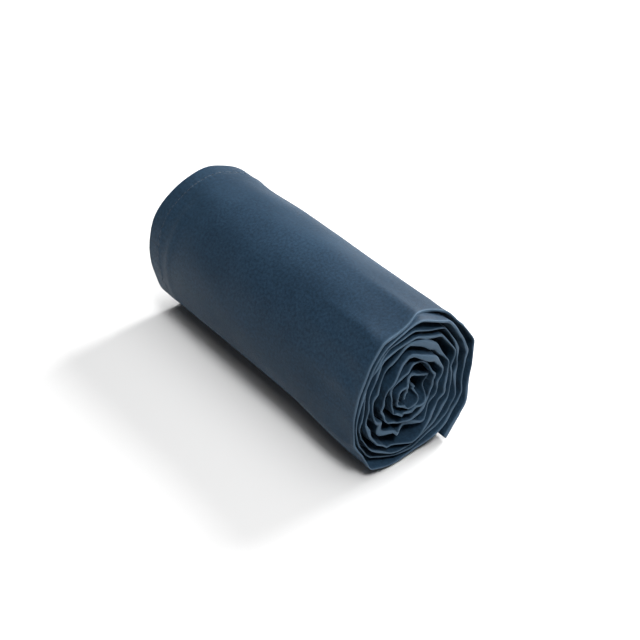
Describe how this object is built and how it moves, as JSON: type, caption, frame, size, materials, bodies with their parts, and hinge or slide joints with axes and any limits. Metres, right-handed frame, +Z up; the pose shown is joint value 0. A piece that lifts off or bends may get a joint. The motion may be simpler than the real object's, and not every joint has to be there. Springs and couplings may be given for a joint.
{
  "type": "rolled travel towel",
  "caption": "Quick-dry travel towel of thin woven cloth, folded lengthwise and rolled into a short thick cylinder that lies on a flattened base, with a free outer flap.",
  "frame": {"origin": "centre of the bounding box's bottom face, on the surface that the roll lies on", "axes": "+X along the roll towards its folded end, +Y towards the side where the free flap hangs, +Z up"},
  "size_m": [0.2, 0.0852, 0.0883],
  "materials": {
    "navy_cloth": "smooth fine plain weave with a soft sheen, dark navy blue",
    "navy_hem": "the same cloth turned over and sewn, slightly puckered",
    "navy_thread": "fine twisted sewing thread, a shade lighter than the cloth"
  },
  "bodies": {
    "roll": {"inner_turns": "navy_cloth", "outer_turn": "navy_cloth", "outer_long_hem": "navy_hem", "inner_long_hem": "navy_hem", "core_end_hem": "navy_hem", "outer_long_thread": "navy_thread", "inner_long_thread": "navy_thread", "core_end_thread": "navy_thread"},
    "flap": {"free_flap": "navy_cloth", "flap_outer_hem": "navy_hem", "flap_inner_hem": "navy_hem", "free_end_hem": "navy_hem", "flap_outer_thread": "navy_thread", "flap_inner_thread": "navy_thread", "free_end_thread": "navy_thread"}
  },
  "joints": [
    {"name": "flap_lift", "type": "hinge", "parent": "roll", "child": "flap", "pos_m": [0, 0.02936, 0.07515], "axis": [1, 0, 0], "range_deg": [0, 75]}
  ]
}
